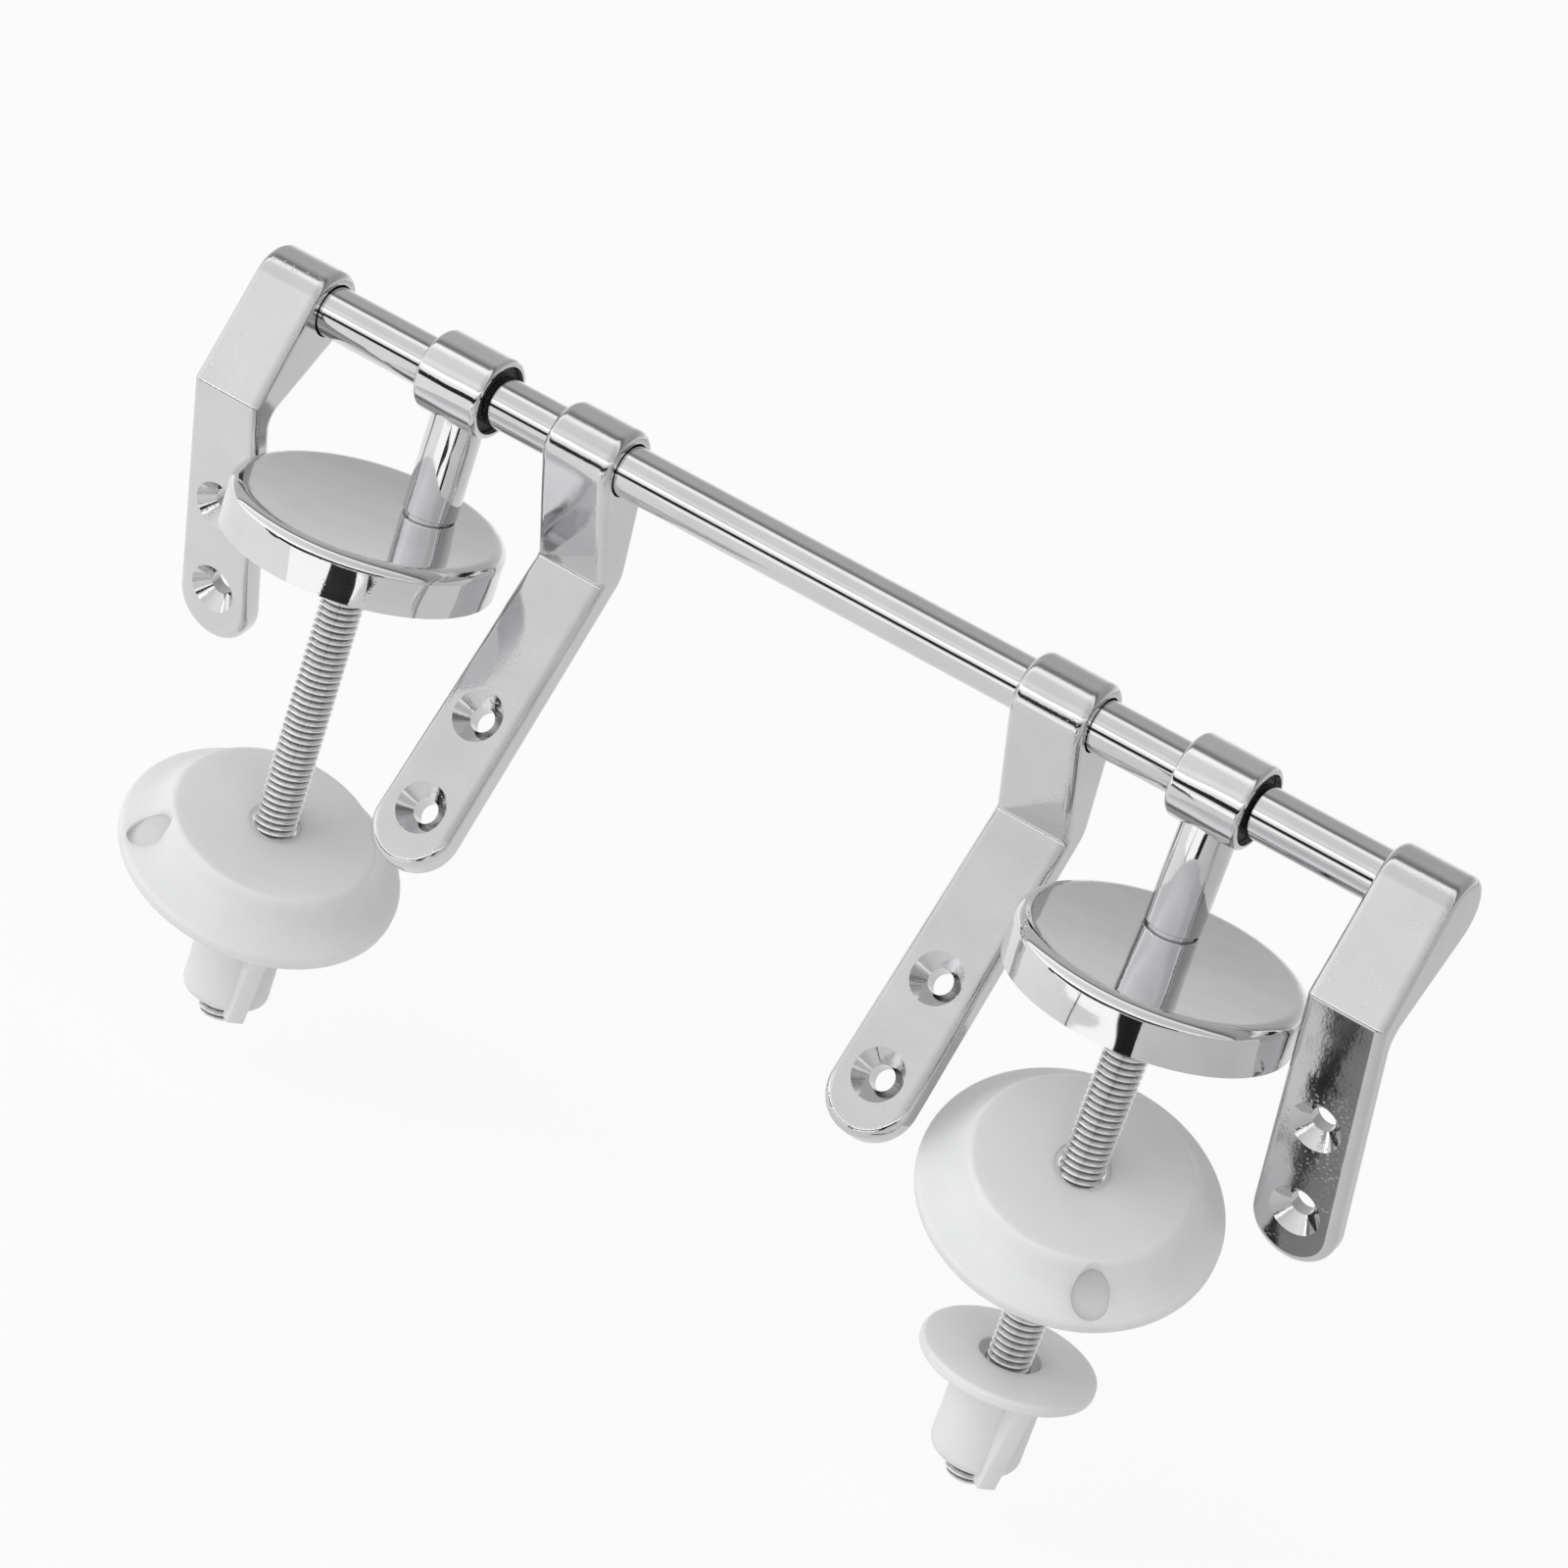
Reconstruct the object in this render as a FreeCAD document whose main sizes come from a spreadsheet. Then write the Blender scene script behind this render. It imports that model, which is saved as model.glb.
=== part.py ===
"""Toilet seat hinge: two base discs and pillars, a common rod, lid arms, seat arms and pan fixings.

Frame: X along the rod, Z up, origin on the pan face midway between the two pan bolts.
"""
import FreeCAD
import Part
import math
import os
import Sketcher
from types import SimpleNamespace

Vector = FreeCAD.Vector
UP = Vector(0, 0, 1)

SIZES = [
    ("rod_radius", 4.75, "common rod"),
    ("rod_height", 33.5, "rod axis above the pan face"),
    ("rod_setback", 11.55, "rod axis behind the line of the pan bolts"),
    ("rod_end_gap", 0.4, "rod end to the bottom of a lid arm bore"),
    ("rod_end_round", 0.5, "rounding of the rod ends"),
    ("turn_gap", 0.05, "radial running clearance of the bushes on the rod"),
    ("arm_gap", 0.3, "radial slack of the arms on the rod"),
    ("press_gap", 0.02, "radial clearance of fixed fits"),
    ("pillar_place", 79.1, "pillar centre from mid length"),
    ("barrel_radius", 7.65, "pillar barrel outside"),
    ("barrel_length", 13.8, "pillar barrel along the rod"),
    ("barrel_bore", 6.5, "pillar barrel bore radius"),
    ("barrel_round", 0.9, "rounding of the barrel ends"),
    ("stem_radius", 5.0, "pillar stem"),
    ("stem_foot_round", 0.35, "rounding of the stem foot"),
    ("stem_tap", 2.5, "tapped hole in the stem, radius"),
    ("stem_tap_depth", 13.0, "tapped hole in the stem, depth"),
    ("bush_length", 11.4, "bush in the barrel"),
    ("bush_round", 0.3, "rounding of the bush ends"),
    ("disc_radius", 25.2, "base disc at the pan face"),
    ("disc_lip_height", 8.6, "top of the disc lip"),
    ("disc_lip_round", 2.2, "outer rounding of the lip"),
    ("disc_dish_edge", 22.6, "inner edge of the lip, radius"),
    ("disc_dish_depth", 0.8, "depth of the hollow dish"),
    ("disc_seat_drop", 0.25, "stem seat below the top of the lip"),
    ("disc_seat_radius", 4.4, "stem seat in the dish, radius"),
    ("disc_recess", 2.2, "recess depth in the underside"),
    ("disc_recess_radius", 21.4, "recess in the underside"),
    ("disc_hub_radius", 7.6, "boss round the bolt in the underside"),
    ("disc_offset", 12.5, "stem centre to disc centre"),
    ("disc_turn", 22.5, "turn of the disc about its stem"),
    ("screw_radius", 2.45, "pillar screw thread"),
    ("screw_length", 14.2, "pillar screw over the head"),
    ("screw_head", 4.3, "pillar screw head radius"),
    ("screw_head_depth", 2.2, "pillar screw head height"),
    ("screw_rim", 0.35, "straight rim of the screw head"),
    ("screw_socket", 1.6, "hexagon socket radius over corners"),
    ("screw_socket_depth", 1.3, "hexagon socket depth"),
    ("screw_hole_gap", 0.25, "clearance of the screw hole in the disc"),
    ("bolt_radius", 4.0, "pan bolt thread"),
    ("bolt_drop", 94.2, "pan bolt below the pan face"),
    ("bolt_grip", 5.4, "pan bolt inside the disc"),
    ("bolt_chamfer", 0.8, "bolt end chamfer"),
    ("arm_boss", 7.1, "arm boss radius"),
    ("arm_half_width", 7.0, "half width of an arm above the rod"),
    ("arm_tip", 8.0, "half width and end radius of the arm plate"),
    ("arm_edge_round", 1.6, "rounding of an arm's edges"),
    ("arm_hole", 2.3, "screw hole radius in the arms"),
    ("arm_sink", 4.8, "countersink radius in the arms"),
    ("arm_sink_angle", 90.0, "countersink angle"),
    ("arm_hole_pitch", 18.8, "distance of the two screw holes"),
    ("arm_hole_end", 11.0, "lower screw hole from the plate end"),
    ("lid_apart", 38.2, "lid arm centre outside its pillar"),
    ("lid_tilt", 19.0, "lid arm turned back from hanging"),
    ("lid_face", 20.4, "lid arm plate face in front of the rod axis"),
    ("lid_thickness", 4.9, "lid arm plate"),
    ("lid_crease", 11.4, "lid arm ridge below the rod axis"),
    ("lid_rear_crease", 15.5, "lid arm rear corner below the rod axis"),
    ("lid_length", 66.0, "lid arm end below the rod axis"),
    ("lid_cap", 2.2, "closed end of the lid arm bore"),
    ("lid_crease_round", 1.0, "rounding of the lid arm ridge"),
    ("lid_rear_round", 4.0, "rounding of the lid arm rear corner"),
    ("seat_left_apart", 28.4, "left seat arm centre inside its pillar"),
    ("seat_right_apart", 31.2, "right seat arm centre inside its pillar"),
    ("seat_tilt", 30.0, "seat arms turned forward from hanging"),
    ("seat_face", 14.25, "seat arm plate face behind the rod axis"),
    ("seat_thickness", 6.2, "seat arm plate"),
    ("seat_crease", 18.5, "seat arm valley below the rod axis"),
    ("seat_rear_crease", 14.5, "seat arm rear corner below the rod axis"),
    ("seat_length", 78.4, "seat arm end below the rod axis"),
    ("seat_crease_round", 0.8, "rounding of the seat arm valley"),
    ("seat_rear_round", 6.0, "rounding of the seat arm rear corner"),
    ("washer_rim", 26.5, "cone washer outside radius"),
    ("washer_top", 19.2, "cone washer flat top radius"),
    ("washer_height", 10.5, "cone washer height"),
    ("washer_waist", 21.4, "cone washer flank corner radius"),
    ("washer_waist_drop", 5.2, "cone washer flank corner below the top"),
    ("washer_rim_height", 2.6, "cone washer rim band"),
    ("washer_bore", 4.85, "cone washer bore radius"),
    ("washer_lip", 0.5, "cone washer thickness at the bore"),
    ("washer_web", 1.6, "cone washer top thickness"),
    ("washer_wall", 2.2, "cone washer flank thickness"),
    ("washer_flank_round", 7.0, "hollow of the cone washer flank"),
    ("washer_top_round", 1.2, "rounding of the cone washer top edge"),
    ("washer_rim_round", 1.1, "rounding of the cone washer rim"),
    ("washer_eye", 3.3, "hole through the flank, radius"),
    ("washer_eye_edge", 0.8, "hole through the flank from the rim"),
    ("washer_left_drop", 54.5, "left washer top below the pan face"),
    ("washer_right_drop", 32.5, "right washer top below the pan face"),
    ("washer_left_tilt", 12.0, "left washer leaning to the front"),
    ("washer_left_side_tilt", 14.0, "left washer leaning to the right"),
    ("washer_left_turn", -36.0, "left washer about its own axis"),
    ("washer_right_tilt", 24.0, "right washer leaning to the front"),
    ("washer_right_side_tilt", 10.0, "right washer leaning to the right"),
    ("washer_right_turn", 46.0, "right washer about its own axis"),
    ("nut_drop", 70.0, "wing nut flange top below the pan face"),
    ("nut_flange", 15.6, "wing nut flange radius"),
    ("nut_flange_height", 2.2, "wing nut flange"),
    ("nut_hub", 8.0, "wing nut hub radius"),
    ("nut_height", 20.4, "wing nut over flange and hub"),
    ("nut_recess", 5.6, "recess round the bolt, radius"),
    ("nut_recess_depth", 1.4, "recess round the bolt, depth"),
    ("nut_bore", 4.05, "wing nut bore radius"),
    ("nut_hub_round", 2.4, "rounding of the hub end"),
    ("nut_flange_round", 0.7, "rounding of the flange edge"),
    ("nut_wing_reach", 12.4, "wing from the axis at the flange"),
    ("nut_wing_foot", 8.6, "wing from the axis at its lower end"),
    ("nut_wing_height", 21.4, "wing lower end below the flange top"),
    ("nut_wing_thickness", 3.2, "wing"),
    ("nut_wing_root", 6.0, "wing start from the axis, inside the hub"),
    ("nut_left_turn", -35.0, "left nut about its own axis"),
    ("nut_right_turn", -40.0, "right nut about its own axis"),
]


class Dim:
    """A size together with the sheet expression that drives it."""

    def __init__(self, value, text):
        self.value = value
        self.text = text

    def joined(self, sign, other, value):
        text = other.text if isinstance(other, Dim) else str(other)
        return Dim(value, f"({self.text} {sign} {text})")

    def __add__(self, other):
        return self.joined("+", other, self.value + number(other))

    def __sub__(self, other):
        return self.joined("-", other, self.value - number(other))

    def __mul__(self, other):
        return self.joined("*", other, self.value * number(other))

    def __truediv__(self, other):
        return self.joined("/", other, self.value / number(other))

    def __neg__(self):
        return self * -1


def number(size):
    return size.value if isinstance(size, Dim) else size


doc = FreeCAD.newDocument("toilet_seat_hinge")
sheet = doc.addObject("Spreadsheet::Sheet", "Sizes")
for row, (alias, value, note) in enumerate(SIZES, start=1):
    sheet.set(f"A{row}", alias)
    sheet.set(f"B{row}", str(value))
    sheet.set(f"C{row}", note)
    sheet.setAlias(f"B{row}", alias)
doc.recompute()
d = SimpleNamespace(**{alias: Dim(value, f"Sizes.{alias}") for alias, value, note in SIZES})
ZERO = 0.0
STEM_SEAT = d.disc_lip_height - d.disc_seat_drop
LID_PLACE = d.pillar_place + d.lid_apart


def bind(item, prop, size):
    """Drive a property by a size; a plain zero stays as it was set."""
    if isinstance(size, Dim):
        item.setExpression(prop, size.text)


def new_body(label):
    body = doc.addObject("PartDesign::Body", label)
    body.Label = label
    return body


def place(body, x, y, z, rotation=None, angle=None):
    """Put a body at a point; an angle size turns it about the rotation's axis."""
    turn = rotation or FreeCAD.Rotation()
    body.Placement = FreeCAD.Placement(Vector(number(x), number(y), number(z)), turn)
    for axis, size in (("x", x), ("y", y), ("z", z)):
        bind(body, f"Placement.Base.{axis}", size)
    bind(body, "Placement.Rotation.Angle", angle)


def lay(body, x, y, z, turn, side_tilt=ZERO, tilt=ZERO):
    """Put a body at a point: turned about its own axis, then leaned to the front and to the right."""
    spot = "; ".join(size.text for size in (x, y, z))
    angles = [size.text if isinstance(size, Dim) else str(size) for size in (turn, side_tilt, tilt)]
    spin = f"create(<<rotation>>; create(<<vector>>; 0; 0; 1); {angles[0]})"
    side = f"create(<<rotation>>; create(<<vector>>; 0; 1; 0); {angles[1]})"
    front = f"create(<<rotation>>; create(<<vector>>; 1; 0; 0); {angles[2]})"
    rotation = f"{side} * {front} * {spin}"
    body.setExpression("Placement", f"create(<<placement>>; create(<<vector>>; {spot}); {rotation})")


def new_sketch(body, role, name, shift=ZERO, lift=ZERO):
    """Sketch on an origin plane, shifted along its own x and lifted along its normal."""
    sketch = body.newObject("Sketcher::SketchObject", name)
    plane = [item for item in body.Origin.OriginFeatures if item.Role == role][0]
    sketch.AttachmentSupport = [(plane, "")]
    sketch.MapMode = "FlatFace"
    offset = Vector(number(shift), 0, number(lift))
    sketch.AttachmentOffset = FreeCAD.Placement(offset, FreeCAD.Rotation())
    bind(sketch, "AttachmentOffset.Base.x", shift)
    bind(sketch, "AttachmentOffset.Base.z", lift)
    return sketch


def fix(sketch, constraint, size):
    index = sketch.addConstraint(constraint)
    bind(sketch, f"Constraints[{index}]", size)


def fix_point(sketch, curve, end, x, y):
    """Hold one point of a curve at given coordinates of its sketch."""
    for kind, axis, size in (("DistanceX", -2, x), ("DistanceY", -1, y)):
        if isinstance(size, Dim):
            fix(sketch, Sketcher.Constraint(kind, -1, 1, curve, end, size.value), size)
        else:
            sketch.addConstraint(Sketcher.Constraint("PointOnObject", curve, end, axis))


def add_circle(sketch, radius, x=ZERO, y=ZERO):
    centre = Vector(number(x), number(y), 0)
    curve = sketch.addGeometry(Part.Circle(centre, UP, radius.value))
    fix_point(sketch, curve, 3, x, y)
    fix(sketch, Sketcher.Constraint("Radius", curve, radius.value), radius)


def add_polygon(sketch, points):
    """Closed outline through points; a coordinate is a size or zero."""
    first = sketch.GeometryCount
    corners = [Vector(number(x), number(y), 0) for x, y in points]
    for start, end in zip(corners, corners[1:] + corners[:1]):
        sketch.addGeometry(Part.LineSegment(start, end))
    count = len(points)
    for index, (x, y) in enumerate(points):
        following = first + (index + 1) % count
        sketch.addConstraint(Sketcher.Constraint("Coincident", first + index, 2, following, 1))
        fix_point(sketch, first + index, 1, x, y)


def pad(body, name, sketch, length, midplane=False, reverse=False):
    item = body.newObject("PartDesign::Pad", name)
    item.Profile = sketch
    item.Length = number(length)
    bind(item, "Length", length)
    item.Midplane = midplane
    item.Reversed = reverse
    return item


def cut_through(body, name, sketch, midplane=False, reverse=False):
    item = body.newObject("PartDesign::Pocket", name)
    item.Profile = sketch
    item.Type = "ThroughAll"
    item.Midplane = midplane
    item.Reversed = reverse
    return item


def cut_blind(body, name, sketch, depth, reverse=False):
    item = body.newObject("PartDesign::Pocket", name)
    item.Profile = sketch
    item.Length = number(depth)
    bind(item, "Length", depth)
    item.Reversed = reverse
    return item


def turned(body, name, points):
    """Turn an outline of (radius, height) points about the body's Z axis."""
    sketch = new_sketch(body, "XZ_Plane", name + "_outline")
    add_polygon(sketch, points)
    item = body.newObject("PartDesign::Revolution", name)
    item.Profile = sketch
    item.ReferenceAxis = (sketch, ["V_Axis"])
    return item


def round_edges(body, name, feature, wanted, radius):
    doc.recompute()
    edges = [f"Edge{i}" for i, edge in enumerate(feature.Shape.Edges, start=1) if wanted(edge)]
    item = body.newObject("PartDesign::Fillet", name)
    item.Base = (feature, edges)
    item.Radius = radius.value
    bind(item, "Radius", radius)
    return item


def near(a, b):
    return abs(a - b) < 1e-4


def ring(radius, height):
    """Test for a circular edge about Z with the given radius and height."""
    def wanted(edge):
        curve = edge.Curve
        if not isinstance(curve, Part.Circle):
            return False
        return near(curve.Radius, number(radius)) and near(curve.Center.z, number(height))
    return wanted


def end_ring(radius, reach):
    """Test for a circular edge about X with the given radius at either end."""
    def wanted(edge):
        curve = edge.Curve
        if not isinstance(curve, Part.Circle):
            return False
        return near(curve.Radius, number(radius)) and near(abs(curve.Center.x), number(reach))
    return wanted


def cross_edge(y, z):
    """Test for a straight edge along X through the given y and z."""
    def wanted(edge):
        points = [vertex.Point for vertex in edge.Vertexes]
        return all(near(p.y, number(y)) and near(p.z, number(z)) for p in points)
    return wanted


def side_edge(edge):
    """Test for the edges round both sides of an arm, not across it or through its plate."""
    middle = edge.valueAt((edge.FirstParameter + edge.LastParameter) / 2)
    points = [vertex.Point for vertex in edge.Vertexes] + [middle]
    level = all(near(p.z, middle.z) for p in points)
    across = level and all(near(p.y, middle.y) for p in points)
    through = level and all(near(p.x, middle.x) for p in points)
    return not across and not through


def make_rod():
    body = new_body("hinge_rod")
    sketch = new_sketch(body, "YZ_Plane", "rod_circle")
    add_circle(sketch, d.rod_radius)
    reach = LID_PLACE + d.arm_half_width - d.lid_cap - d.rod_end_gap
    bar = pad(body, "rod_bar", sketch, reach * 2, midplane=True)
    round_edges(body, "rod_ends", bar, end_ring(d.rod_radius, reach), d.rod_end_round)
    place(body, ZERO, d.rod_setback, d.rod_height)
    return body


def make_pillar(label, side):
    body = new_body(label)
    barrel_sketch = new_sketch(body, "YZ_Plane", label + "_barrel_circle")
    add_circle(barrel_sketch, d.barrel_radius)
    barrel = pad(body, label + "_barrel", barrel_sketch, d.barrel_length, midplane=True)
    ends = end_ring(d.barrel_radius, d.barrel_length / 2)
    round_edges(body, label + "_barrel_ends", barrel, ends, d.barrel_round)
    stem_sketch = new_sketch(body, "XY_Plane", label + "_stem_circle")
    add_circle(stem_sketch, d.stem_radius)
    foot = STEM_SEAT - d.rod_height
    stem = pad(body, label + "_stem", stem_sketch, -foot, reverse=True)
    round_edges(body, label + "_foot", stem, ring(d.stem_radius, foot), d.stem_foot_round)
    bore_sketch = new_sketch(body, "YZ_Plane", label + "_bore_circle")
    add_circle(bore_sketch, d.barrel_bore)
    cut_through(body, label + "_bore", bore_sketch, midplane=True)
    tap_sketch = new_sketch(body, "XY_Plane", label + "_tap_circle", lift=foot)
    add_circle(tap_sketch, d.stem_tap)
    cut_blind(body, label + "_tap", tap_sketch, d.stem_tap_depth, reverse=True)
    place(body, d.pillar_place * side, d.rod_setback, d.rod_height)
    return body


def make_bush(label, side):
    body = new_body(label)
    sketch = new_sketch(body, "YZ_Plane", label + "_circles")
    outside = d.barrel_bore - d.press_gap
    add_circle(sketch, outside)
    add_circle(sketch, d.rod_radius + d.turn_gap)
    tube = pad(body, label + "_tube", sketch, d.bush_length, midplane=True)
    ends = end_ring(outside, d.bush_length / 2)
    round_edges(body, label + "_ends", tube, ends, d.bush_round)
    place(body, d.pillar_place * side, d.rod_setback, d.rod_height)
    return body


def make_disc(label, side):
    """Base disc about its own axis; the stem stands on the body's +Y side."""
    body = new_body(label)
    outline = [
        (ZERO, ZERO),
        (d.disc_hub_radius, ZERO),
        (d.disc_hub_radius, d.disc_recess),
        (d.disc_recess_radius, d.disc_recess),
        (d.disc_recess_radius, ZERO),
        (d.disc_radius, ZERO),
        (d.disc_radius, d.disc_lip_height),
        (ZERO, d.disc_lip_height),
    ]
    plate = turned(body, label + "_plate", outline)
    lip = ring(d.disc_radius, d.disc_lip_height)
    round_edges(body, label + "_lip", plate, lip, d.disc_lip_round)
    cut_dish(body, label)
    seat_sketch = new_sketch(body, "XY_Plane", label + "_seat_circle", lift=d.disc_recess)
    add_circle(seat_sketch, d.disc_seat_radius, ZERO, d.disc_offset)
    pad(body, label + "_seat", seat_sketch, STEM_SEAT - d.disc_recess)
    bolt_sketch = new_sketch(body, "XY_Plane", label + "_bolt_circle")
    add_circle(bolt_sketch, d.bolt_radius + d.press_gap)
    cut_blind(body, label + "_bolt_hole", bolt_sketch, d.bolt_grip + d.press_gap, reverse=True)
    hole_sketch = new_sketch(body, "YZ_Plane", label + "_screw_outline", shift=d.disc_offset)
    wide = d.screw_head + d.screw_hole_gap
    slim = d.screw_radius + d.screw_hole_gap
    rim = d.disc_recess + d.screw_rim
    outline = [
        (ZERO, d.disc_recess),
        (wide, d.disc_recess),
        (wide, rim),
        (slim, rim + d.screw_head - d.screw_radius),
        (slim, STEM_SEAT),
        (ZERO, STEM_SEAT),
    ]
    add_polygon(hole_sketch, outline)
    hole = body.newObject("PartDesign::Groove", label + "_screw_hole")
    hole.Profile = hole_sketch
    hole.ReferenceAxis = (hole_sketch, ["V_Axis"])
    stand_disc(body, side, ZERO)
    return body


def cut_dish(body, label):
    """Hollow the top of a disc by a sphere through the inner edge of its lip."""
    depth = d.disc_dish_depth
    radius = (d.disc_dish_edge * d.disc_dish_edge + depth * depth) / (depth * 2)
    height = d.disc_lip_height - depth + radius
    dish = body.newObject("PartDesign::SubtractiveSphere", label + "_dish")
    plane = [item for item in body.Origin.OriginFeatures if item.Role == "XY_Plane"][0]
    dish.AttachmentSupport = [(plane, "")]
    dish.MapMode = "FlatFace"
    dish.AttachmentOffset = FreeCAD.Placement(Vector(0, 0, height.value), FreeCAD.Rotation())
    bind(dish, "AttachmentOffset.Base.z", height)
    dish.Radius = radius.value
    bind(dish, "Radius", radius)


def disc_centre(side):
    """Axis of a disc from its pillar, the eccentric offset and the disc's turn."""
    turn = math.radians(d.disc_turn.value)
    arm = d.disc_offset
    x = Dim(
        side * (d.pillar_place.value + arm.value * math.sin(turn)),
        f"{side} * (Sizes.pillar_place + Sizes.disc_offset * sin(Sizes.disc_turn * 1 deg))",
    )
    y = Dim(
        d.rod_setback.value - arm.value * math.cos(turn),
        "Sizes.rod_setback - Sizes.disc_offset * cos(Sizes.disc_turn * 1 deg)",
    )
    return x, y


def stand_disc(body, side, z):
    """Stand a body on a disc axis, turned so that its +Y side carries the stem."""
    x, y = disc_centre(side)
    turn = FreeCAD.Rotation(Vector(0, 0, side), d.disc_turn.value)
    place(body, x, y, z, turn, d.disc_turn)


def make_screw(label, side):
    body = new_body(label)
    taper = d.screw_rim + d.screw_head - d.screw_radius
    outline = [
        (ZERO, ZERO),
        (d.screw_head, ZERO),
        (d.screw_head, d.screw_rim),
        (d.screw_radius, taper),
        (d.screw_radius, d.screw_length),
        (ZERO, d.screw_length),
    ]
    turned(body, label + "_shank", outline)
    sketch = new_sketch(body, "XY_Plane", label + "_socket_outline")
    points = []
    for step in range(6):
        angle = math.radians(60 * step + 30)
        points.append((d.screw_socket * round(math.cos(angle), 9), d.screw_socket * round(math.sin(angle), 9)))
    add_polygon(sketch, points)
    cut_blind(body, label + "_socket", sketch, d.screw_socket_depth, reverse=True)
    place(body, d.pillar_place * side, d.rod_setback, d.disc_recess + d.press_gap)
    return body


def make_bolt(label, side):
    body = new_body(label)
    tip = d.bolt_radius - d.bolt_chamfer
    outline = [
        (ZERO, -d.bolt_drop),
        (tip, -d.bolt_drop),
        (d.bolt_radius, d.bolt_chamfer - d.bolt_drop),
        (d.bolt_radius, d.bolt_grip - d.bolt_chamfer),
        (tip, d.bolt_grip),
        (ZERO, d.bolt_grip),
    ]
    turned(body, label + "_stud", outline)
    stand_disc(body, side, ZERO)
    return body


def arm_blank(body, label, face, rear, crease, rear_crease, length):
    """Boss and cranked plate: side outline padded, then trimmed to its plan outline."""
    corners = [(face, -crease), (face, -length), (rear, -length), (rear, -rear_crease)]
    sketch = new_sketch(body, "YZ_Plane", label + "_side_outline")
    radius = d.arm_boss.value
    angles = []
    for (y, z), hand in ((corners[3], 1), (corners[0], -1)):
        toward = math.atan2(z.value, y.value)
        spread = math.acos(radius / math.hypot(y.value, z.value))
        angles.append(toward + hand * spread)
    start = angles[0]
    end = angles[1] + 2 * math.pi * math.ceil((start - angles[1]) / (2 * math.pi))
    boss = Part.Circle(Vector(0, 0, 0), UP, radius)
    sketch.addGeometry(Part.ArcOfCircle(boss, start, end))
    path = [boss.value(end)] + [Vector(y.value, z.value, 0) for y, z in corners] + [boss.value(start)]
    for first, second in zip(path, path[1:]):
        sketch.addGeometry(Part.LineSegment(first, second))
    sketch.addConstraint(Sketcher.Constraint("Coincident", 0, 3, -1, 1))
    fix(sketch, Sketcher.Constraint("Radius", 0, radius), d.arm_boss)
    sketch.addConstraint(Sketcher.Constraint("Tangent", 0, 2, 1, 1))
    sketch.addConstraint(Sketcher.Constraint("Tangent", 5, 2, 0, 1))
    for index, (y, z) in enumerate(corners, start=2):
        sketch.addConstraint(Sketcher.Constraint("Coincident", index - 1, 2, index, 1))
        fix_point(sketch, index, 1, y, z)
    pad(body, label + "_blank", sketch, d.arm_tip * 2, midplane=True)
    return trim_plan(body, label, length)


def trim_plan(body, label, length):
    """Cut away everything outside the plan outline: sides flared to a round end."""
    sketch = new_sketch(body, "XZ_Plane", label + "_plan_outline")
    out = d.arm_tip * 2
    high = d.arm_boss * 2
    low = -(length + d.arm_tip)
    add_polygon(sketch, [(-out, high), (out, high), (out, low), (-out, low)])
    top = d.arm_boss * 1.5
    foot = d.arm_tip - length
    points = [
        (d.arm_tip, foot),
        (d.arm_half_width, top),
        (-d.arm_half_width, top),
        (-d.arm_tip, foot),
    ]
    first = sketch.GeometryCount
    corners = [Vector(x.value, z.value, 0) for x, z in points]
    for start, end in zip(corners, corners[1:]):
        sketch.addGeometry(Part.LineSegment(start, end))
    for index, (x, z) in enumerate(points):
        last = index == len(points) - 1
        fix_point(sketch, first + index - last, 1 + last, x, z)
        if index < len(points) - 2:
            joint = Sketcher.Constraint("Coincident", first + index, 2, first + index + 1, 1)
            sketch.addConstraint(joint)
    centre = Vector(0, foot.value, 0)
    arc = Part.ArcOfCircle(Part.Circle(centre, UP, d.arm_tip.value), math.pi, 2 * math.pi)
    curve = sketch.addGeometry(arc)
    sketch.addConstraint(Sketcher.Constraint("Coincident", curve, 1, curve - 1, 2))
    sketch.addConstraint(Sketcher.Constraint("Coincident", curve, 2, first, 1))
    fix(sketch, Sketcher.Constraint("DistanceY", -1, 1, curve, 3, foot.value), foot)
    return cut_through(body, label + "_plan", sketch, midplane=True)


def drill_arm(body, label, face, length):
    """Two countersunk screw holes, sunk into the plate face that looks to -Y."""
    sketch = new_sketch(body, "XZ_Plane", label + "_hole_circles", lift=-face)
    lower = d.arm_hole_end - length
    add_circle(sketch, d.arm_hole, ZERO, lower)
    add_circle(sketch, d.arm_hole, ZERO, lower + d.arm_hole_pitch)
    doc.recompute()
    hole = body.newObject("PartDesign::Hole", label + "_holes")
    hole.Profile = sketch
    hole.Threaded = False
    hole.DepthType = "ThroughAll"
    bind(hole, "Diameter", d.arm_hole * 2)
    hole.HoleCutType = "Countersink"
    hole.HoleCutCustomValues = True
    bind(hole, "HoleCutDiameter", d.arm_sink * 2)
    bind(hole, "HoleCutCountersinkAngle", d.arm_sink_angle)


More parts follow.
